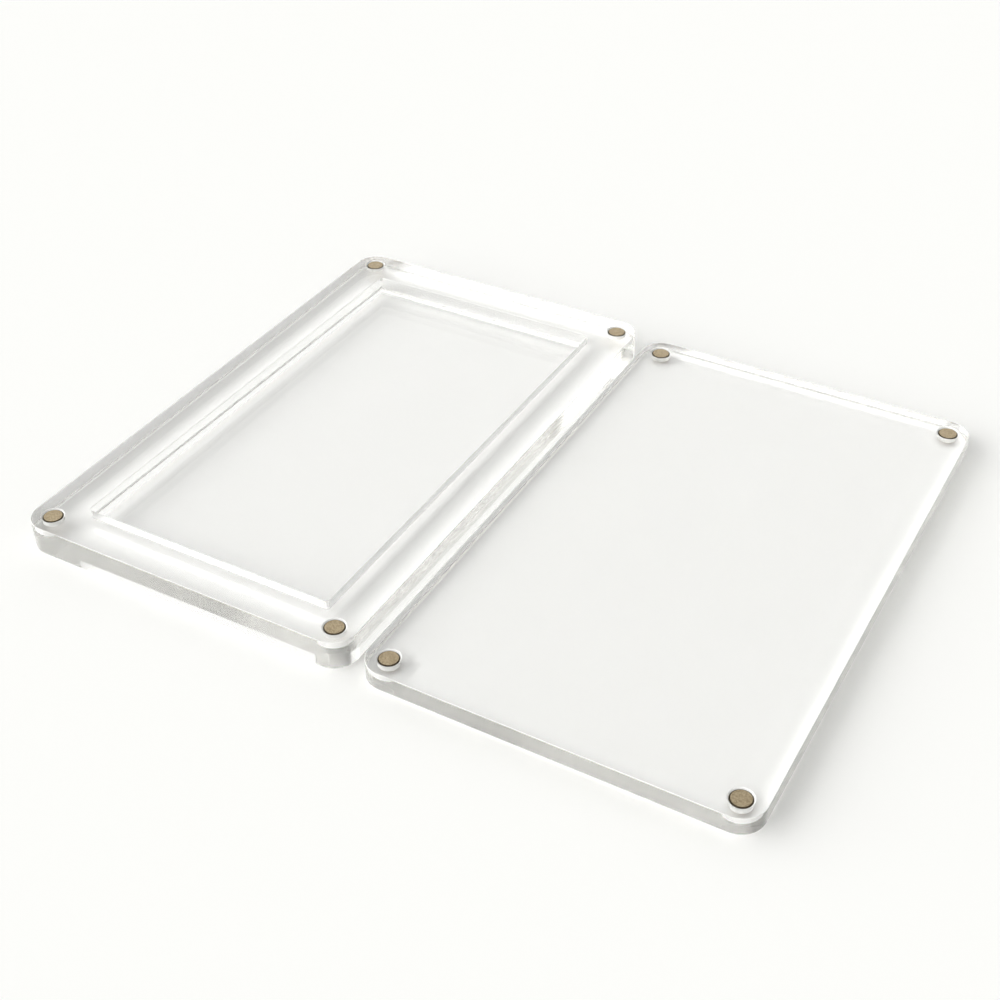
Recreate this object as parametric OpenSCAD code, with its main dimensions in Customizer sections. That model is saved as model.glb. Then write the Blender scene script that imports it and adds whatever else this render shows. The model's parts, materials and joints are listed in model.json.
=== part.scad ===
// Clear two-part magnetic case for one sealed foil pack of trading cards.
// A thick tray with a recessed pocket and a thinner flat lid lie side by side, mating faces up.
// Each half is one plate of clear cast acrylic with four disc magnets in blind holes by its corners.
// Turned up and over about the line midway between the halves, the lid lands on the tray,
// magnet on magnet, and shuts the pocket. The front is -Y, and the tray lies on the left.

/* [Pocket] */
// Width of the pocket, across the tray
pocket_w = 70; // [60:1:90]
// Length of the pocket, along the tray
pocket_l = 130; // [110:1:150]
// Depth of the pocket below the tray's mating face
pocket_depth = 5; // [4.5:0.5:9]
// Radius that the milling cutter leaves in the pocket's upright corners
pocket_corner_r = 1; // [0.5:0.25:3]

/* [Plates] */
// Width of the solid border round the pocket
border = 11.5; // [10:0.5:18]
// Thickness of the tray under the pocket
floor_t = 3; // [2:0.5:5]
// Thickness of the lid
lid_t = 5; // [4.5:0.5:8]
// Radius of the plates' upright corners
corner_r = 6; // [3:0.5:7]
// Polished chamfer round the outer face of both plates
edge_chamfer = 0.4; // [0.2:0.1:0.8]
// Break of the crisp edge round both mating faces, which the seam shuts on
seam_break = 0.1; // [0.05:0.05:0.3]

/* [Magnets] */
// Diameter of a disc magnet
magnet_d = 5; // [4:0.5:6]
// Thickness of a disc magnet
magnet_t = 3; // [1.5:0.5:3.5]
// Distance from a magnet's centre to each of the two nearest outer edges
magnet_inset = 5.5; // [5:0.25:6.5]
// Bevel round both plated rims of a magnet
magnet_bevel = 0.25; // [0.1:0.05:0.4]
// Gap between a magnet's side and its hole
magnet_side_gap = 0.05; // [0.02:0.01:0.15]
// How far a magnet's face lies below the mating face
magnet_recess = 0.1; // [0.05:0.05:0.3]

/* [Layout] */
// Space between the two halves as they lie side by side
halves_gap = 3; // [1:0.5:20]

/* [Hidden] */

// Name of each corner, and its side along X and Y
CORNERS = [["front_left", -1, -1], ["front_right", 1, -1], ["back_left", -1, 1], ["back_right", 1, 1]];

case_w = pocket_w + 2 * border;
case_l = pocket_l + 2 * border;
tray_t = floor_t + pocket_depth;
tray_x = -(case_w + halves_gap) / 2;
lid_x = (case_w + halves_gap) / 2;

magnet_dx = case_w / 2 - magnet_inset;
magnet_dy = case_l / 2 - magnet_inset;
magnet_hole_r = magnet_d / 2 + magnet_side_gap;
magnet_hole_depth = magnet_t + magnet_recess;

// Extra length of a cut past the face that it opens through
cut_past = 1;
$fn = 96;

// Section of a plate's edge, from a line inside the plate out to the edge: chamfered at the outer
// face, which lies down, and hardly broken at the mating face, so that the seam shuts crisp
module edge_section(reach, thick) {
    polygon([
        [0, 0],
        [reach - edge_chamfer, 0],
        [reach, edge_chamfer],
        [reach, thick - seam_break],
        [reach - seam_break, thick],
        [0, thick],
    ]);
}

// Slab of one width along Y, with the edge section at each end of its reach along X
module double_edged_slab(reach, width, thick) {
    for (side = [0, 1])
        mirror([side, 0, 0])
            rotate([90, 0, 0])
                linear_extrude(width, center = true)
                    edge_section(reach, thick);
}

// One plate: a slab along each axis, and a quarter-round post that fills each corner
module plate(thick) {
    straight_w = case_w - 2 * corner_r;
    straight_l = case_l - 2 * corner_r;
    double_edged_slab(case_w / 2, straight_l, thick);
    rotate(90)
        double_edged_slab(case_l / 2, straight_w, thick);
    for (turn = [0, 90, 180, 270]) {
        along = turn % 180 == 0 ? [straight_w, straight_l] : [straight_l, straight_w];
        rotate(turn)
            translate([along[0] / 2, along[1] / 2, 0])
                rotate_extrude(angle = 90)
                    edge_section(corner_r, thick);
    }
}

// Rectangle with round corners, in the plane
module round_rectangle(w, l, r) {
    square([w - 2 * r, l], center = true);
    square([w, l - 2 * r], center = true);
    for (x = [-1, 1], y = [-1, 1])
        translate([x * (w / 2 - r), y * (l / 2 - r)])
            circle(r);
}

// Blind holes for the four magnets of one plate, open through its mating face
module magnet_holes(thick) {
    for (corner = CORNERS)
        translate([corner[1] * magnet_dx, corner[2] * magnet_dy, thick - magnet_hole_depth])
            cylinder(r = magnet_hole_r, h = magnet_hole_depth + cut_past);
}

// Disc magnet with both rims bevelled, standing on its lower face
module disc_magnet() {
    radius = magnet_d / 2;
    rotate_extrude()
        polygon([
            [0, 0],
            [radius - magnet_bevel, 0],
            [radius, magnet_bevel],
            [radius, magnet_t - magnet_bevel],
            [radius - magnet_bevel, magnet_t],
            [0, magnet_t],
        ]);
}

// A magnet seated on the floor of its hole
module seated_magnet(plate_x, thick, corner) {
    color("tan")
        translate([
            plate_x + corner[1] * magnet_dx,
            corner[2] * magnet_dy,
            thick - magnet_hole_depth,
        ])
            disc_magnet();
}

module tray() {
    color("aliceblue", 0.4)
        translate([tray_x, 0, 0])
            difference() {
                plate(tray_t);
                translate([0, 0, floor_t])
                    linear_extrude(pocket_depth + cut_past)
                        round_rectangle(pocket_w, pocket_l, pocket_corner_r);
                magnet_holes(tray_t);
            }
}

module lid() {
    color("aliceblue", 0.4)
        translate([lid_x, 0, 0])
            difference() {
                plate(lid_t);
                magnet_holes(lid_t);
            }
}

module tray_magnet(corner) {
    seated_magnet(tray_x, tray_t, corner);
}

module lid_magnet(corner) {
    seated_magnet(lid_x, lid_t, corner);
}

tray();
lid();
for (corner = CORNERS) {
    tray_magnet(corner);
    lid_magnet(corner);
}
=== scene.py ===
# %% [markdown]
# # A clear magnetic case for a pack of cards
# The object is two plates of clear cast acrylic. The thick one, the tray, has a pocket milled into
# its top face. The thin one, the lid, is flat. Four small disc magnets sit in each plate. This lesson
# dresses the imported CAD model: it keeps every size and place, and gives each piece a smooth surface
# and a real finish. Clear things are all edges and reflections, so most of the care goes into clean
# flat faces, crisp corners and a studio that gives the edges something to show.

# %% [markdown]
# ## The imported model
# The CAD model says which pieces there are, how big they are and how the lid turns. Its own meshes
# are loose triangles. They could be shown in a glass material as they are, but their facets would
# break up every reflection. So they are only measured, and each piece is made again at the same size
# as one smooth surface.

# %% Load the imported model
import json
import math

import bpy
import numpy as np
from mathutils import Matrix, Vector
from mathutils.geometry import delaunay_2d_cdt


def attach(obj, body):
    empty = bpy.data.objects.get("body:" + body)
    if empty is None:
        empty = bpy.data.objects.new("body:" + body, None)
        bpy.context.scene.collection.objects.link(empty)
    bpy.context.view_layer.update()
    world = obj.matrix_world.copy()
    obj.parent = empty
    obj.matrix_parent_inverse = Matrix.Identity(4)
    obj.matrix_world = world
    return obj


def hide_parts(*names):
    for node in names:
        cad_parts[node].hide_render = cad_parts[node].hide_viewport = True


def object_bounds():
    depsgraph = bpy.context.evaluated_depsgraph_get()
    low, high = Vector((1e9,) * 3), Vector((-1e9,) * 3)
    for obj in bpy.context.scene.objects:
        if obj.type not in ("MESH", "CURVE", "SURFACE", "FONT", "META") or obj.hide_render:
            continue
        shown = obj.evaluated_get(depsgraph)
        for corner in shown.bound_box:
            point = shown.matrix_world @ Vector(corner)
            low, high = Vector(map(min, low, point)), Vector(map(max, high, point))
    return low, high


MM = 0.001  # Blender's unit here is the metre

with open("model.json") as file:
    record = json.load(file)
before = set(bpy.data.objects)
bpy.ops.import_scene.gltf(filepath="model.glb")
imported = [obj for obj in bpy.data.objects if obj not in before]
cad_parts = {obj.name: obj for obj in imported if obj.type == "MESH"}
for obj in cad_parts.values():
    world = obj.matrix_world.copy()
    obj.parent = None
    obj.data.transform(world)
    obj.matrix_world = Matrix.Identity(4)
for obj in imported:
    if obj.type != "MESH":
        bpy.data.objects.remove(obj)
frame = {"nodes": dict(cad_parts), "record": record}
cad_bounds = [list(corner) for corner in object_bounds()]
print("whole object, mm:", [round((b - a) / MM, 2) for a, b in zip(*cad_bounds)])

# %% [markdown]
# ## Reading sizes off the model
# A maker would measure the plates with a caliper. Here the corner points of the CAD meshes stand in
# for them: the heights at which the points lie are the faces, chamfers and floors, and the points at
# one height outline the shape there. The sizes could be typed in as numbers, but then a change to
# the CAD model would pass unnoticed.

# %% Read points, levels and outlines
SAME = 0.004 * MM  # points closer in height than this lie on one level


def corners_of(node):
    """All corner points of a CAD node's mesh, as an array of rows x, y, z in metres."""
    mesh = frame["nodes"][node].data
    points = np.empty(3 * len(mesh.vertices), np.float32)
    mesh.vertices.foreach_get("co", points)
    return points.reshape(-1, 3).astype(float)


def levels_of(points):
    """The heights at which the points lie, lowest first. Heights within SAME of each other are one."""
    heights = np.sort(points[:, 2])
    return heights[np.concatenate([[True], np.diff(heights) > SAME])]


def round_rectangle_of(points):
    """Centre, half sizes and corner radius of the round rectangle that flat points outline.

    The radius is what the straight part of the right-hand side leaves of that side's half length.
    """
    low, high = points[:, :2].min(0), points[:, :2].max(0)
    right_side = points[points[:, 0] > high[0] - SAME]
    return {
        "centre": (low + high) / 2,
        "half": (high - low) / 2,
        "radius": high[1] - right_side[:, 1].max(),
    }


print("levels of the tray, mm:", (levels_of(corners_of("tray")) / MM).round(2).tolist())

# %% [markdown]
# ## How big a magnet is
# A magnet is a stock disc with a small bevel on both rims. Its box gives its place and radius, and
# the first level above its lower face gives the bevel. One function serves all eight, so the lesson
# never needs to know how many there are.

# %% Measure a magnet


def measure_magnet(name):
    """A magnet's centre, radius and heights, and its bevel: the first level above its lower face."""
    points = corners_of(name)
    low, high = points.min(0), points.max(0)
    return {
        "name": name,
        "centre": (low[:2] + high[:2]) / 2,
        "radius": (high[0] - low[0]) / 2,
        "base": low[2],
        "top": high[2],
        "bevel": levels_of(points)[1] - low[2],
    }


def magnets_of(plate_name):
    """The measured magnets of one plate: the nodes that bear its name, in alphabetical order."""
    names = [name for name in sorted(frame["nodes"]) if name.startswith(plate_name + "_magnet")]
    return [measure_magnet(name) for name in names]


print("magnets:", {m["name"]: (m["centre"] / MM).round(2).tolist() for m in magnets_of("tray")})

# %% [markdown]
# ## How big a plate is
# A plate is a round rectangle with a chamfer round its outer face and a much smaller break round its
# mating face, so that the shut case shows only a fine seam. Its holes stop where its magnets stand,
# so the points at that height, near a magnet's centre, give the holes' radius.

# %% Measure the plates


def measure_plate(name):
    """A plate's outline, heights and edge breaks, its magnets, and the radius of their holes."""
    points = corners_of(name)
    plate = round_rectangle_of(points)
    plate["base"], plate["top"] = points[:, 2].min(), points[:, 2].max()
    levels = levels_of(points)
    plate["chamfer"], plate["seam_break"] = levels[1] - levels[0], levels[-1] - levels[-2]
    plate["magnets"] = magnets_of(name)
    first = plate["magnets"][0]
    hole_floor = points[np.abs(points[:, 2] - first["base"]) < SAME]
    reach = np.linalg.norm(hole_floor[:, :2] - first["centre"], axis=1)
    plate["hole_radius"] = reach[reach < 2 * first["radius"]].max()
    return plate


tray, lid = measure_plate("tray"), measure_plate("lid")
for name, plate in (("tray", tray), ("lid", lid)):
    print(name, "mm:", (2 * plate["half"] / MM).round(2), "chamfer", round(plate["chamfer"] / MM, 3))
print("hole radius, mm:", round(tray["hole_radius"] / MM, 3))

# %% [markdown]
# ## How big the pocket is
# The record gives the pocket as a box of free space, which is kept a little clear of its walls. The
# true floor is the first level of the tray below that box, and the points on it outline the pocket.

# %% Measure the pocket
free_space = np.array(frame["record"]["physics"]["openings"][0]["box_m"])
tray_points = corners_of("tray")
pocket_floor = max(z for z in levels_of(tray_points) if z < free_space[0][2])
pocket = round_rectangle_of(tray_points[np.abs(tray_points[:, 2] - pocket_floor) < SAME])
print("pocket, mm:", (2 * pocket["half"] / MM).round(2), "floor at", round(pocket_floor / MM, 2))

# %% [markdown]
# ## The camera
# The camera stands in front and to the right, well above the table, as for a catalogue picture. It
# could be aimed at the object's middle with a constraint. A place, a direction and a small roll are
# plainer, and they keep the framing when a size changes.

# %% Place the camera
CAMERA_AT = Vector((0.1460, -0.26509, 0.23039))
CAMERA_LOOKS = Vector((-0.39306, 0.68864, -0.60933))
CAMERA_ROLL = math.radians(-0.565)
SENSOR_WIDTH_IN_MM = 36.0
LENS_IN_MM = 53.95
NEAREST_SEEN = 10 * MM

camera = bpy.data.objects.new("camera", bpy.data.cameras.new("camera"))
bpy.context.scene.collection.objects.link(camera)
camera.data.sensor_width = SENSOR_WIDTH_IN_MM
camera.data.lens = LENS_IN_MM
camera.data.clip_start = NEAREST_SEEN
aim = CAMERA_LOOKS.to_track_quat("-Z", "Y").to_matrix().to_4x4()
camera.matrix_world = Matrix.Translation(CAMERA_AT) @ aim @ Matrix.Rotation(CAMERA_ROLL, 4, "Z")
bpy.context.scene.camera = camera
print("camera looks down at", round(math.degrees(math.asin(-CAMERA_LOOKS.z)), 1), "degrees")

# %% [markdown]
# ## Sections with soft corners
# Every piece here is turned or milled: its surface is a section carried along a closed path. On a
# real plate no edge is perfectly sharp, and a clear one shows this as a fine line of light. A Bevel
# modifier could round the edges, but it leaves the shading of the wide faces to chance. So a section
# is given as a few corner points, and each corner becomes a small arc that touches both its sides.
# The section is then smooth, every point on it has one true normal, and the flat faces look flat.

# %% Soften the corners of a section
ARC_STEPS = 4


def soft_section(corners, soften):
    """Rows (out, up, normal out, normal up) along a section whose corners are rounded.

    The radius, soften, is one number or one for each corner between the first and the last.

    The walk keeps the solid on its left. At a corner the heading turns by an angle a. The arc of
    radius r starts r * tan(|a| / 2) before the corner, and its centre lies r to the side that the
    walk turns to. At heading h the arc's point is the centre less r times the left-hand side of h,
    and the outward normal is the right-hand side of h, (sin h, -cos h). The first and last corner
    only give the directions in which the section starts and ends.
    """
    corners = np.asarray(corners, float)
    soften = np.broadcast_to(soften, len(corners) - 2)
    steps = np.diff(corners, axis=0)
    headings = np.unwrap(np.arctan2(steps[:, 1], steps[:, 0]))
    turns = np.diff(headings)
    side = np.sign(turns)
    along = np.stack([np.cos(headings[:-1]), np.sin(headings[:-1])], 1)
    left = np.stack([-along[:, 1], along[:, 0]], 1)
    start = corners[1:-1] - (soften * np.tan(np.abs(turns) / 2))[:, None] * along
    reach = (side * soften)[:, None]
    centres = start + reach * left
    shares = np.linspace(0, 1, ARC_STEPS + 1)
    heading = headings[:-1, None] + turns[:, None] * shares
    left_now = np.stack([-np.sin(heading), np.cos(heading)], 2)
    points = centres[:, None] - reach[:, None] * left_now
    normals = np.stack([np.sin(heading), -np.cos(heading)], 2)
    return np.concatenate([points, normals], 2).reshape(-1, 4)


square_corner = soft_section([(-1, 0), (0, 0), (0, 1)], 0.1)
print("one softened corner has", len(square_corner), "rows, the first normal is", square_corner[0, 2:])

# %% [markdown]
# ## The paths that sections follow
# A plate's path is a rectangle with round corners, and a hole's is a circle. Both run anticlockwise.
# A curve object could serve as the path, but a formula gives the exact point and the exact outward
# normal at each step, and the section needs both.

# %% Work out the paths
CORNER_STEPS = 32
CIRCLE_STEPS = 96


def round_rectangle(shape):
    """Points and outward normals of a rectangle with round corners, anticlockwise.

    A point is the corner's centre plus the radius times (cos a, sin a), where a runs through a
    quarter turn at each corner. The straight sides are the gaps between one quarter and the next.
    """
    quarter = np.arange(4)[:, None] * math.pi / 2
    angle = quarter + np.linspace(0, math.pi / 2, CORNER_STEPS + 1)
    normals = np.stack([np.cos(angle), np.sin(angle)], 2)
    signs = np.array([[1, 1], [-1, 1], [-1, -1], [1, -1]])[:, None]
    points = shape["centre"] + signs * (shape["half"] - shape["radius"]) + shape["radius"] * normals
    return points.reshape(-1, 2), normals.reshape(-1, 2)


def circle(centre, radius):
    """Points and outward normals of a circle, anticlockwise: the centre plus radius (cos a, sin a)."""
    angle = np.linspace(0, 2 * math.pi, CIRCLE_STEPS, endpoint=False)
    normals = np.stack([np.cos(angle), np.sin(angle)], 1)
    return np.asarray(centre) + radius * normals, normals


print("points round a plate:", len(round_rectangle(tray)[0]), "round a hole:", CIRCLE_STEPS)

# %% [markdown]
# ## Gathering a surface
# A plate is walls and flat faces that meet in shared points. Booleans could cut the pocket and the
# holes out of a block, but they leave slivers, and clear plastic shows each one. So the walls are
# worked out whole, and their points, true normals, faces and finishes are gathered in one place.

# %% Gather points, normals and faces


class Surface:
    """The points, normals, faces and finishes of one closed surface, gathered part by part."""

    def __init__(self):
        self.points, self.normals, self.faces, self.finishes = [], [], [], []

    def add_points(self, points, normals):
        """Adds rows of points with their normals, and returns the number of the first."""
        first = sum(len(rows) for rows in self.points)
        self.points.append(points)
        self.normals.append(normals)
        return first

    def add_faces(self, faces, finish):
        """Adds faces as rows of point numbers, with one finish for all or one for each."""
        self.faces += np.asarray(faces).tolist()
        self.finishes += np.broadcast_to(finish, len(faces)).tolist()


trial = Surface()
print("an empty surface starts at point", trial.add_points(np.zeros((3, 3)), np.zeros((3, 3))))

# %% [markdown]
# ## Walls
# The edge of a plate, the wall of the pocket and the rim of a magnet are all one shape: a section
# carried along a path. As a grid this takes no loop: one ring of points for each row of the section,
# and one strip of four-sided faces between two rings.

# %% Carry a section along a path


def add_wall(surface, path, section, finish):
    """Adds the grid of a section carried along a path. Returns its rings of point numbers.

    A point is the path's point plus (out) times the path's normal, at height (up), and its normal
    is (normal out) times the path's normal, with (normal up) as its height. The finish is one
    number for the whole wall, or one for each strip between two rows of the section.
    """
    points, normals = path
    shape = (len(section), len(points))
    out, up, normal_out, normal_up = (section[:, i, None] for i in range(4))
    place = points + out[..., None] * normals
    facing = normal_out[..., None] * normals
    height, tilt = (np.broadcast_to(column, shape)[..., None] for column in (up, normal_up))
    grid = np.concatenate([place, height], 2).reshape(-1, 3)
    first = surface.add_points(grid, np.concatenate([facing, tilt], 2).reshape(-1, 3))
    rings = first + np.arange(len(grid)).reshape(shape)
    ahead = np.roll(rings, -1, 1)
    quads = np.stack([rings[:-1], ahead[:-1], ahead[1:], rings[1:]], 2).reshape(-1, 4)
    strips = np.broadcast_to(finish, len(section) - 1)
    surface.add_faces(quads, np.repeat(strips, len(points)))
    return rings


trial = Surface()
add_wall(trial, circle((0, 0), 1.0), square_corner, 0)
print("a trial wall has", len(trial.faces), "faces")

# %% [markdown]
# ## Flat faces with holes
# The mating face of a plate is one flat face with holes in it. Blender's faces can't have holes, so
# it is cut into triangles that use only the points of the rings. The triangles that fall inside a
# hole's ring are left out: a ray from such a triangle crosses the ring an odd number of times.

# %% Fill a flat face round its holes
INSIDE_THE_RINGS = 1  # the triangulation's option to leave out what lies beyond the outer ring
MERGED_WITHIN = 1e-7  # points closer than this, in millimetres, would become one


def inside(points, ring):
    """True for each point that a ray to the right crosses the ring's sides an odd number of times."""
    x, y = points[:, 0, None], points[:, 1, None]
    x0, y0 = ring[:, 0], ring[:, 1]
    x1, y1 = np.roll(x0, -1), np.roll(y0, -1)
    spans = (y0 > y) != (y1 > y)
    rise = np.where(y1 == y0, 1.0, y1 - y0)
    crossing = x0 + (y - y0) * (x1 - x0) / rise
    return (spans & (crossing > x)).sum(1) % 2 == 1


def add_flat(surface, outer, holes, finish):
    """Adds the flat face that fills an outer ring, less the rings of its holes, facing upwards.

    The rings' sides are kept as edges, and the rest is Delaunay triangles. A triangle's doubled
    area, the cross product of two of its sides, is negative where it runs clockwise, and such a
    triangle is turned over.
    """
    rings = [outer, *holes]
    numbers = np.concatenate(rings)
    flat = np.concatenate(surface.points)[numbers, :2] / MM
    ends = np.cumsum([len(ring) for ring in rings])
    order = np.split(np.arange(len(flat)), ends[:-1])
    sides = np.concatenate([np.stack([ring, np.roll(ring, -1)], 1) for ring in order])
    found = delaunay_2d_cdt(flat.tolist(), sides.tolist(), [], INSIDE_THE_RINGS, MERGED_WITHIN)
    _, _, faces, given_points, _, _ = found
    triangles = np.array(given_points)[:, 0][np.array(faces)]
    middles = flat[triangles].mean(1)
    in_holes = np.array([inside(middles, flat[ring]) for ring in order[1:]])
    triangles = triangles[~in_holes.any(0)]
    a, b, c = (flat[triangles[:, i]] for i in range(3))
    doubled = (b - a)[:, 0] * (c - a)[:, 1] - (b - a)[:, 1] * (c - a)[:, 0]
    triangles[doubled < 0] = triangles[doubled < 0][:, ::-1]
    surface.add_faces(numbers[triangles], finish)


unit_circle = circle((0, 0), 1.0)[0]
print("(0, 0) and (2, 0) lie inside a unit circle:", inside(np.array([[0, 0], [2, 0]]), unit_circle))

# %% [markdown]
# ## From a surface to a Blender object
# The normals are known exactly, so they are stored in the mesh rather than left to Blender's guess,
# which would tilt the wide faces towards their chamfers. The object stays at the origin, unturned:
# its place is in its points.

# %% Make the Blender object


def make_piece(surface, name, materials):
    """The gathered surface as an object at the origin, with its own normals and its finishes."""
    mesh = bpy.data.meshes.new(name)
    mesh.from_pydata(np.concatenate(surface.points), [], surface.faces)
    mesh.polygons.foreach_set("material_index", np.array(surface.finishes, np.int32))
    mesh.polygons.foreach_set("use_smooth", np.ones(len(surface.faces), bool))
    mesh.normals_split_custom_set_from_vertices(np.concatenate(surface.normals))
    for material in materials:
        mesh.materials.append(material)
    mesh.validate()
    piece = bpy.data.objects.new(name, mesh)
    bpy.context.scene.collection.objects.link(piece)
    return piece


# %% [markdown]
# ## Colours
# A colour is written as the sRGB hex value that a colour picker shows. The shader works in linear
# light, in which a mid grey is about a fifth of white, so one function turns the one to the other.

# %% Turn a hex colour to linear light


def linear(hex_colour):
    """An sRGB hex colour as linear red, green, blue and a full alpha.

    Each share s of 255 becomes s / 12.92 near black, and ((s + 0.055) / 1.055) to the power 2.4
    above that.
    """
    parts = np.array([int(hex_colour[i : i + 2], 16) for i in (1, 3, 5)]) / 255
    low, high = parts / 12.92, ((parts + 0.055) / 1.055) ** 2.4
    return (*np.where(parts <= 0.04045, low, high), 1.0)


print("mid grey in linear light:", round(float(linear("#808080")[0]), 3))

# %% [markdown]
# ## Nodes
# A material is a small graph of nodes. One function adds a node of any kind with its settings, its
# numbers and its links, so that each material below reads as a list of what it is made of.

# %% Add nodes and materials


def add(tree, kind, links=None, values=None, **settings):
    """Adds a node: settings are its own options, values its sockets' numbers, links its inputs."""
    node = tree.nodes.new(kind)
    for key, value in settings.items():
        setattr(node, key, value)
    for key, value in (values or {}).items():
        node.inputs[key].default_value = value
    for key, socket in (links or {}).items():
        tree.links.new(socket, node.inputs[key])
    return node


def new_material(name):
    """An empty node material and its tree."""
    material = bpy.data.materials.new(name)
    material.use_nodes = True
    material.node_tree.nodes.clear()
    return material, material.node_tree


def grain(tree, size):
    """Noise from 0 to 1 on the object's own coordinates, whose patches are size metres in x, y, z."""
    place = add(tree, "ShaderNodeTexCoord").outputs["Object"]
    patches = add(tree, "ShaderNodeVectorMath", {0: place}, {1: size}, operation="DIVIDE")
    noise = add(tree, "ShaderNodeTexNoise", {"Vector": patches.outputs[0]}, {"Scale": 1.0, "Detail": 1.0})
    return noise.outputs[0]


print("materials so far:", len(bpy.data.materials))

# %% [markdown]
# ## Clear cast acrylic
# The plates are acrylic (PMMA), cast between sheets of glass, then sawn, milled, drilled and
# polished. One glass material could do for all of it. But each of those tools leaves a surface of
# its own, and on a clear plate these surfaces are nearly all there is to see, so each has a finish.
# They share what the plastic itself does. It bends light with an index of 1.49. It is a little grey
# in its depth: light that runs the length of a plate loses about a seventh. And a small share of
# the light is scattered at the surface, by dust and fine scratches. That share also lets out the
# light that total reflection would keep in the plate, so deep reflections look grey, not black.

# %% Make the acrylic's finishes
ACRYLIC_IOR = 1.49
SCATTER_COLOUR = "#FEFEFE"
DEPTH_COLOUR, DEPTH_DENSITY = "#C8C6B4", 2.2
UM = 1e-6  # a micron


def acrylic(name, roughness, clear, wave_size, wave_height):
    """Clear acrylic with one surface finish, whose waves are wave_height deep, in metres.

    The share (clear) of the light goes on through the surface, and the rest is scattered.
    """
    material, tree = new_material(name)
    waves = add(tree, "ShaderNodeBump", {"Height": grain(tree, wave_size)}, {"Distance": wave_height})
    shader = add(
        tree,
        "ShaderNodeBsdfPrincipled",
        links={"Normal": waves.outputs["Normal"]},
        values={
            "Base Color": linear(SCATTER_COLOUR),
            "Transmission Weight": clear,
            "IOR": ACRYLIC_IOR,
            "Roughness": roughness,
        },
    )
    depth = add(
        tree,
        "ShaderNodeVolumeAbsorption",
        values={"Color": linear(DEPTH_COLOUR), "Density": DEPTH_DENSITY},
    )
    add(
        tree,
        "ShaderNodeOutputMaterial",
        links={"Surface": shader.outputs["BSDF"], "Volume": depth.outputs["Volume"]},
    )
    return material


CAST, EDGE, CHAMFER, DRILLED, GLUED = range(5)
ACRYLIC = [
    # Cast against glass: all but flat. A slow swell and a trace of haze soften what is seen in it.
    acrylic("cast_acrylic_face", 0.08, 0.99, (30 * MM, 30 * MM, 30 * MM), 20 * UM),
    # Milled, then polished along its length: bright, with fine streaks that run round the plate.
    # Real ones are finer still, and these are drawn 0.5 mm apart so that they show.
    acrylic("polished_acrylic_edge", 0.0, 0.96, (40 * MM, 40 * MM, 0.5 * MM), 2 * UM),
    # Scraped with a blade and left matte, with chatter marks 0.4 mm apart: thin pale edge lines.
    acrylic("scraped_acrylic_chamfer", 0.4, 0.3, (0.4 * MM, 0.4 * MM, 0.4 * MM), 1 * UM),
    # As the drill leaves it, frosted, with turning marks drawn 0.2 mm apart, coarse enough to show:
    # the white sleeve that is seen round each magnet.
    acrylic("drilled_acrylic_wall", 0.8, 0.15, (2 * MM, 2 * MM, 0.2 * MM), 10 * UM),
    # Frosted too, but wetted clear again by the glue, whose film is uneven about every millimetre:
    # the magnet shows through it from outside.
    acrylic("glued_acrylic_seat", 0.0, 0.9, (1 * MM, 1 * MM, 1 * MM), 3 * UM),
]
print("acrylic finishes:", [material.name for material in ACRYLIC])

# %% [markdown]
# ## Nickel plate
# The magnets are sintered, which leaves them grainy, and plated with nickel against rust. A plain
# grey metal would look like a painted dot. The plating follows the grains, so its colour and its
# gloss both vary by the same noise: the lighter grains are the smoother ones. Real grains are too
# fine to see from here, so they are drawn 0.3 to 0.5 mm wide. Nickel is a warm grey, and it is
# warmest here on the faces, which handling has dulled.

# %% Make the nickel's finishes
DARK_BELOW, LIGHT_ABOVE = 0.35, 0.65  # most of the noise lies between these two
GLOSS_SPREAD = 0.25  # how much rougher the dark grains are, and how much smoother the light ones


def metal(name, dark, light, roughness, grain_size):
    """Nickel plating that mottles between two colours, and whose lighter grains are smoother."""
    material, tree = new_material(name)
    mottle = grain(tree, (grain_size, grain_size, grain_size))
    colour = add(tree, "ShaderNodeValToRGB", {"Fac": mottle})
    for stop, place, shade in zip(colour.color_ramp.elements, (DARK_BELOW, LIGHT_ABOVE), (dark, light)):
        stop.position, stop.color = place, linear(shade)
    rough = add(
        tree,
        "ShaderNodeMapRange",
        links={"Value": mottle},
        values={"To Min": (1 + GLOSS_SPREAD) * roughness, "To Max": (1 - GLOSS_SPREAD) * roughness},
    )
    shader = add(
        tree,
        "ShaderNodeBsdfPrincipled",
        links={"Base Color": colour.outputs["Color"], "Roughness": rough.outputs[0]},
        values={"Metallic": 1.0},
    )
    add(tree, "ShaderNodeOutputMaterial", links={"Surface": shader.outputs["BSDF"]})
    return material


FACE, RIM, SIDE = range(3)
NICKEL = [
    # Satin from handling and from the other magnet it meets: a soft warm grey with a fine mottle.
    metal("satin_nickel_face", "#9A8A70", "#BEAE92", 0.3, 0.4 * MM),
    # Painted shade: the bevel is painted dark to stand for the shadowed gap round the magnet and the dark
    # it mirrors, a ring that sets the face off.
    metal("nickel_rim_painted_shade", "#40392F", "#564D40", 0.45, 0.3 * MM),
    # Never touched inside its hole, so still bright: it adds to the white of the sleeve.
    metal("bright_nickel_side", "#D4CDC0", "#E0DACE", 0.25, 0.5 * MM),
]
print("nickel finishes:", [material.name for material in NICKEL])

# %% [markdown]
# ## The sections of a plate
# A plate's edge is one section: a chamfer, the polished edge and the break at the mating face. The
# pocket and the holes share another: a rim, a wall and a sharp inner corner, as an end mill and a
# drill leave it. Each strip of a section is given its finish here, so that a chamfer can be matte
# next to a polished edge.

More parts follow.
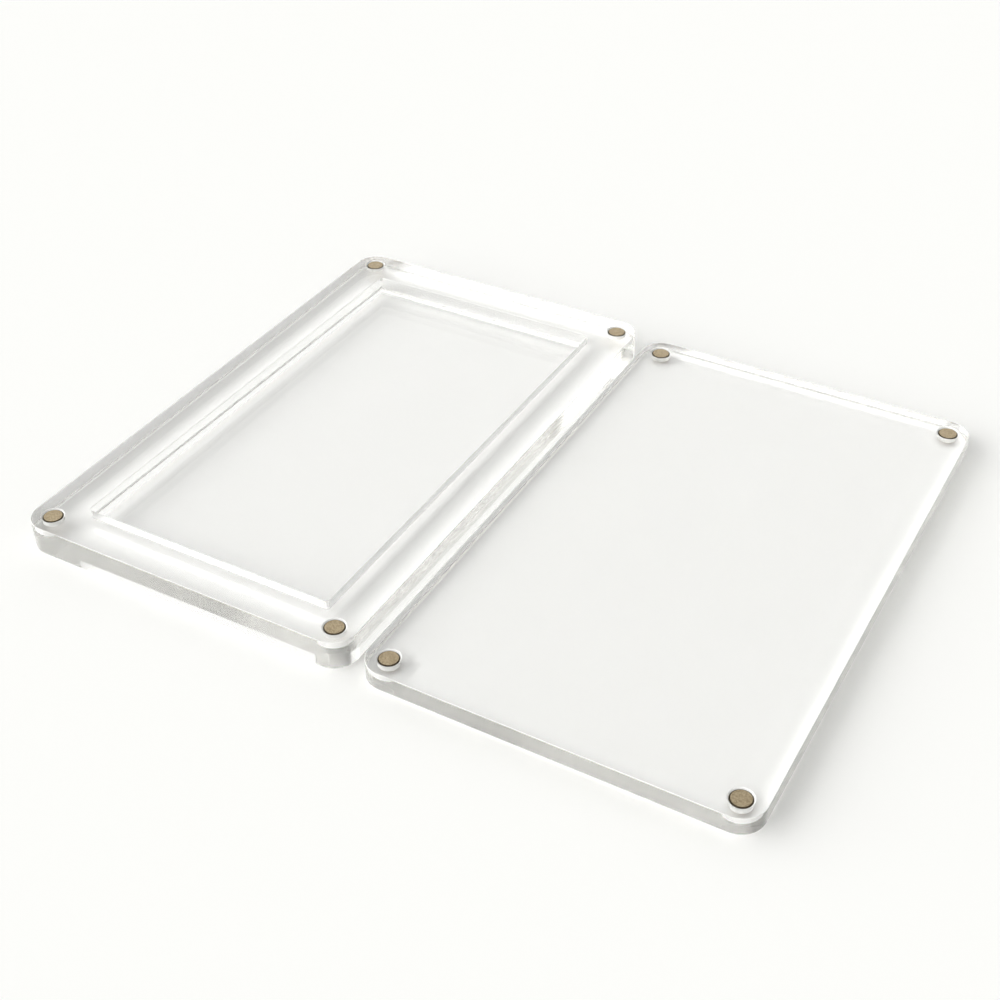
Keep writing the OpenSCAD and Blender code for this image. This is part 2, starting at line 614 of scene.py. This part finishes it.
# %% Draw the sections of a plate
LEAD = 2  # a section's end points lie this many bevels further in, only to give its direction
SOFT_EDGE = 0.04 * MM  # what the scraper and the polish take off each edge
POCKET_RIM = 0.08 * MM  # the width of the break round the pocket
HOLE_RIM = 0.3 * MM  # the width of the countersink round a hole
SUNK_SOFT = [0.03 * MM, 0.03 * MM, 0.006 * MM]  # upper rim, lower rim and inner corner
CORNER_STRIPS = 2 * ARC_STEPS + 1  # a softened edge, the flat of the chamfer, a softened edge
EDGE_STRIPS = np.repeat([CHAMFER, EDGE, CHAMFER], [CORNER_STRIPS, 1, CORNER_STRIPS])
POCKET_STRIPS = np.repeat([CHAMFER, EDGE], [CORNER_STRIPS, 1 + ARC_STEPS])


def edge_section(plate):
    """The outer edge, walked from the lower face up to the upper one, with its two chamfers."""
    low, high, cut, seam = (plate[key] for key in ("base", "top", "chamfer", "seam_break"))
    inner = -LEAD * cut
    return soft_section(
        [(inner, low), (-cut, low), (0, low + cut), (0, high - seam), (-seam, high), (inner, high)],
        SOFT_EDGE,
    )


def sunk_section(top, floor, rim):
    """The wall of a pocket or hole, walked from the upper face down over its rim to its floor."""
    lead = LEAD * rim
    return soft_section(
        [(rim + lead, top), (rim, top), (0, top - rim), (0, floor), (-lead, floor)],
        SUNK_SOFT,
    )


print("rows in a plate's edge:", len(edge_section(tray)), "strips:", len(EDGE_STRIPS))

# %% [markdown]
# ## The two plates
# Each plate is one closed surface: its edge, carried round the outline, its pocket and holes, carried
# round theirs, and the flat faces between them. Light enters and leaves clear plastic at every face,
# so the surface has to be whole. Separate sheets would look like thin glass.

# %% Build the plates
HOLE_SEAT = 0.03 * MM  # the film of glue that keeps a magnet's face off the floor of its hole


def build_plate(name, plate, pocket_shape=None):
    """A whole plate: edge, lower face, sunk pocket and holes, and the upper face between them."""
    surface = Surface()
    edge = add_wall(surface, round_rectangle(plate), edge_section(plate), EDGE_STRIPS)
    surface.add_faces([edge[0][::-1]], CAST)
    rims = []
    if pocket_shape:
        section = sunk_section(plate["top"], pocket_floor, POCKET_RIM)
        wall = add_wall(surface, round_rectangle(pocket_shape), section, POCKET_STRIPS)
        surface.add_faces([wall[-1]], CAST)
        rims.append(wall[0])
    for magnet in plate["magnets"]:
        section = sunk_section(plate["top"], magnet["base"] - HOLE_SEAT, HOLE_RIM)
        wall = add_wall(surface, circle(magnet["centre"], plate["hole_radius"]), section, DRILLED)
        surface.add_faces([wall[-1]], GLUED)
        rims.append(wall[0])
    add_flat(surface, edge[-1], rims, CAST)
    piece = make_piece(surface, name + "_plate", ACRYLIC)
    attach(piece, name)
    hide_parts(name)
    return piece


for piece in (build_plate("tray", tray, pocket), build_plate("lid", lid)):
    print(piece.name, len(piece.data.vertices), "points", len(piece.data.polygons), "faces")

# %% [markdown]
# ## The magnets
# A magnet is a disc, so its rim is a section carried round a circle, and its two faces fill the first
# and the last ring. A cylinder with a bevel would come close, but its bevels would have no finish
# of their own, and the rim painted dark as painted shade is what makes a magnet read as a separate
# piece.

# %% Build the magnets
# The bevel strips get the nickel rim that is painted dark as painted shade for the gap round the magnet.
RIM_STRIPS = np.repeat([RIM, SIDE, RIM], [CORNER_STRIPS, 1, CORNER_STRIPS])


def magnet_section(magnet):
    """A disc's rim, walked from its lower face up to its upper face over two bevels."""
    low, high, cut = magnet["base"], magnet["top"], magnet["bevel"]
    inner = -LEAD * cut
    return soft_section(
        [(inner, low), (-cut, low), (0, low + cut), (0, high - cut), (-cut, high), (inner, high)],
        cut / 2,
    )


def build_magnet(magnet, body):
    """One magnet as a closed disc, riding with its plate."""
    surface = Surface()
    path = circle(magnet["centre"], magnet["radius"])
    rim = add_wall(surface, path, magnet_section(magnet), RIM_STRIPS)
    surface.add_faces([rim[0][::-1], rim[-1]], FACE)
    piece = make_piece(surface, magnet["name"] + "_disc", NICKEL)
    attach(piece, body)
    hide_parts(magnet["name"])
    return piece


for body, plate in (("tray", tray), ("lid", lid)):
    discs = [build_magnet(magnet, body) for magnet in plate["magnets"]]
    print(body, "magnets:", [disc.name for disc in discs])

# %% [markdown]
# ## The table
# The case lies on plain white paper. A clear plate borrows nearly all its tones from what it lies on,
# so the paper is a matte white with no pattern of its own. It lies a hair below the plates, because
# two faces in one plane would flicker, and because a real plate rests on dust with air beneath it.

# %% Lay the table
TABLE_HALF = 3.0  # in metres, so that its border lies beyond every view
TABLE_GAP = 0.05 * MM
PAPER_WHITE = "#FCFCFC"


def build_table():
    """A wide square of paper, just below the lowest point of the object."""
    side = TABLE_HALF
    mesh = bpy.data.meshes.new("table")
    level = cad_bounds[0][2] - TABLE_GAP
    corners = [(-side, -side, level), (side, -side, level), (side, side, level), (-side, side, level)]
    mesh.from_pydata(corners, [], [(0, 1, 2, 3)])
    material, tree = new_material("white_table_paper")
    shader = add(tree, "ShaderNodeBsdfDiffuse", values={"Color": linear(PAPER_WHITE)})
    add(tree, "ShaderNodeOutputMaterial", links={"Surface": shader.outputs["BSDF"]})
    mesh.materials.append(material)
    piece = bpy.data.objects.new("table", mesh)
    bpy.context.scene.collection.objects.link(piece)
    return piece


table = build_table()
print("table:", table.name, "at", round(table.data.vertices[0].co.z / MM, 3), "mm")

# %% [markdown]
# ## The light of the studio
# Lamps could light the case, but a clear plate mirrors them as hard dots and lines. Here the whole
# sky is the lamp, as in a light tent: bright low down, dark overhead where the tent is open, with a
# broad soft panel to the left and front, and a dimmer part at the back right. Those differences are
# what the edges show as their greys.

# %% Work out the light from each direction
KEY_FROM = Vector((-0.82, -0.57, 0.09)).normalized()
KEY_REACH = (0.34, 1.04)  # the cosines at which the panel starts and at which it would be full
KEY_LEVEL = 2.88
DIM_FROM = Vector((0.58, 0.55, 0.6)).normalized()
DIM_REACH = (0.73, 1.0)
DIM_LEVEL = 0.52
SKY_LEVELS = [(0.0, 1.16), (0.3, 1.16), (0.6, 1.09), (0.74, 1.03), (0.87, 0.0)]  # height, level


def lobe(tree, direction, centre, nearness, levels):
    """A level that eases from the first to the second as a direction nears the centre of the lobe.

    The nearness is the cosine of the angle between the two, at the lobe's outer and inner rim.
    """
    cosine = add(tree, "ShaderNodeVectorMath", {0: direction}, {1: centre}, operation="DOT_PRODUCT")
    level = add(
        tree,
        "ShaderNodeMapRange",
        links={"Value": cosine.outputs["Value"]},
        values={"From Min": nearness[0], "From Max": nearness[1], "To Min": levels[0], "To Max": levels[1]},
        interpolation_type="SMOOTHSTEP",
    )
    return level.outputs[0]


def sky_level(tree, direction, height):
    """The light from a direction: the level at its height, times the dim part, plus the panel."""
    by_height = add(tree, "ShaderNodeValToRGB", {"Fac": height})
    stops = by_height.color_ramp.elements
    for place, _ in SKY_LEVELS[len(stops) :]:
        stops.new(place)
    for stop, (place, grey) in zip(stops, SKY_LEVELS):
        stop.position, stop.color = place, (grey, grey, grey, 1.0)
    panel = lobe(tree, direction, KEY_FROM, KEY_REACH, (0.0, KEY_LEVEL))
    shade = lobe(tree, direction, DIM_FROM, DIM_REACH, (1.0, DIM_LEVEL))
    parts = {0: by_height.outputs["Color"], 1: shade, 2: panel}
    return add(tree, "ShaderNodeMath", parts, operation="MULTIPLY_ADD").outputs[0]


print("the panel reaches", round(math.degrees(math.acos(KEY_REACH[0]))), "degrees from its middle")

# %% [markdown]
# ## The white background
# Behind the table the picture is plain white. More light would do that too, but it would burn out the
# pale plates. So only what the camera sees is set to 1, which is white, and with it the lowest strip
# of the sky as seen in reflections and through the plastic, so that the plates stand in a white room.
# Reflections off the outside also get a narrower range of levels. Without that, a plate seen against
# the strong panel would be one white glare, and a magnet seen from above would mirror only the dark.

# %% Build the sky
SKY_COLOUR = "#FEFEFB"
WHITE = 1.0
HORIZON = 0.05  # the height up to which reflections see white, gone at twice that height
MIRRORED_LEVELS = {"Min": 0.6, "Max": 1.2}  # the least and the most that a reflection sees


def build_sky():
    """The studio's world: its light by direction, and white where the background is looked at."""
    world = bpy.data.worlds.new("studio")
    bpy.context.scene.world = world
    world.use_nodes = True
    tree = world.node_tree
    tree.nodes.clear()
    # In a world, the Generated coordinates are the direction that is looked in.
    direction = add(tree, "ShaderNodeTexCoord").outputs["Generated"]
    height = add(tree, "ShaderNodeSeparateXYZ", {"Vector": direction}).outputs["Z"]
    level = sky_level(tree, direction, height)

    # A ray that has been bent by the plastic is glossy too, so only the difference of the two says
    # that it was mirrored off the outside.
    path = add(tree, "ShaderNodeLightPath").outputs
    rays = {0: path["Is Glossy Ray"], 1: path["Is Transmission Ray"]}
    mirrored = add(tree, "ShaderNodeMath", rays, operation="SUBTRACT", use_clamp=True)
    limited = add(tree, "ShaderNodeClamp", {"Value": level}, MIRRORED_LEVELS)
    choice = {"Factor": mirrored.outputs[0], "A": level, "B": limited.outputs[0]}
    level = add(tree, "ShaderNodeMix", choice).outputs[0]

    # White is what the camera sees, and what a mirrored or bent ray sees in the lowest strip.
    met = add(tree, "ShaderNodeMath", rays, operation="ADD")
    fade = {"From Min": HORIZON, "From Max": 2 * HORIZON, "To Min": 1.0, "To Max": 0.0}
    low = add(tree, "ShaderNodeMapRange", {"Value": height}, fade)
    behind = add(tree, "ShaderNodeMath", {0: met.outputs[0], 1: low.outputs[0]}, operation="MULTIPLY")
    looked_at = {0: behind.outputs[0], 1: path["Is Camera Ray"]}
    white = add(tree, "ShaderNodeMath", looked_at, operation="MAXIMUM")
    seen = add(tree, "ShaderNodeMix", {"Factor": white.outputs[0], "A": level}, {"B": WHITE})

    light = add(tree, "ShaderNodeBackground", {"Strength": seen.outputs[0]}, {"Color": linear(SKY_COLOUR)})
    add(tree, "ShaderNodeOutputWorld", {"Surface": light.outputs[0]})
    return world


world = build_sky()
print("world:", world.name, "with", len(world.node_tree.nodes), "nodes")

# %% [markdown]
# ## How far light is followed
# Light in a clear plate bounces between its faces many times before it leaves. Blender's usual limit
# of twelve bounces would end such paths in black, so they are followed four times as far. Filter
# Glossy, which blurs what is mirrored after a rough bounce, is turned off, because it would smear the
# plates' edges. The Standard view shows the colours as they are written.

# %% Set the view and the bounces
BOUNCES = 48

bpy.context.scene.view_settings.view_transform = "Standard"
cycles = bpy.context.scene.cycles
cycles.max_bounces = cycles.transmission_bounces = cycles.glossy_bounces = BOUNCES
cycles.blur_glossy = 0.0
print("light is followed for", cycles.max_bounces, "bounces")
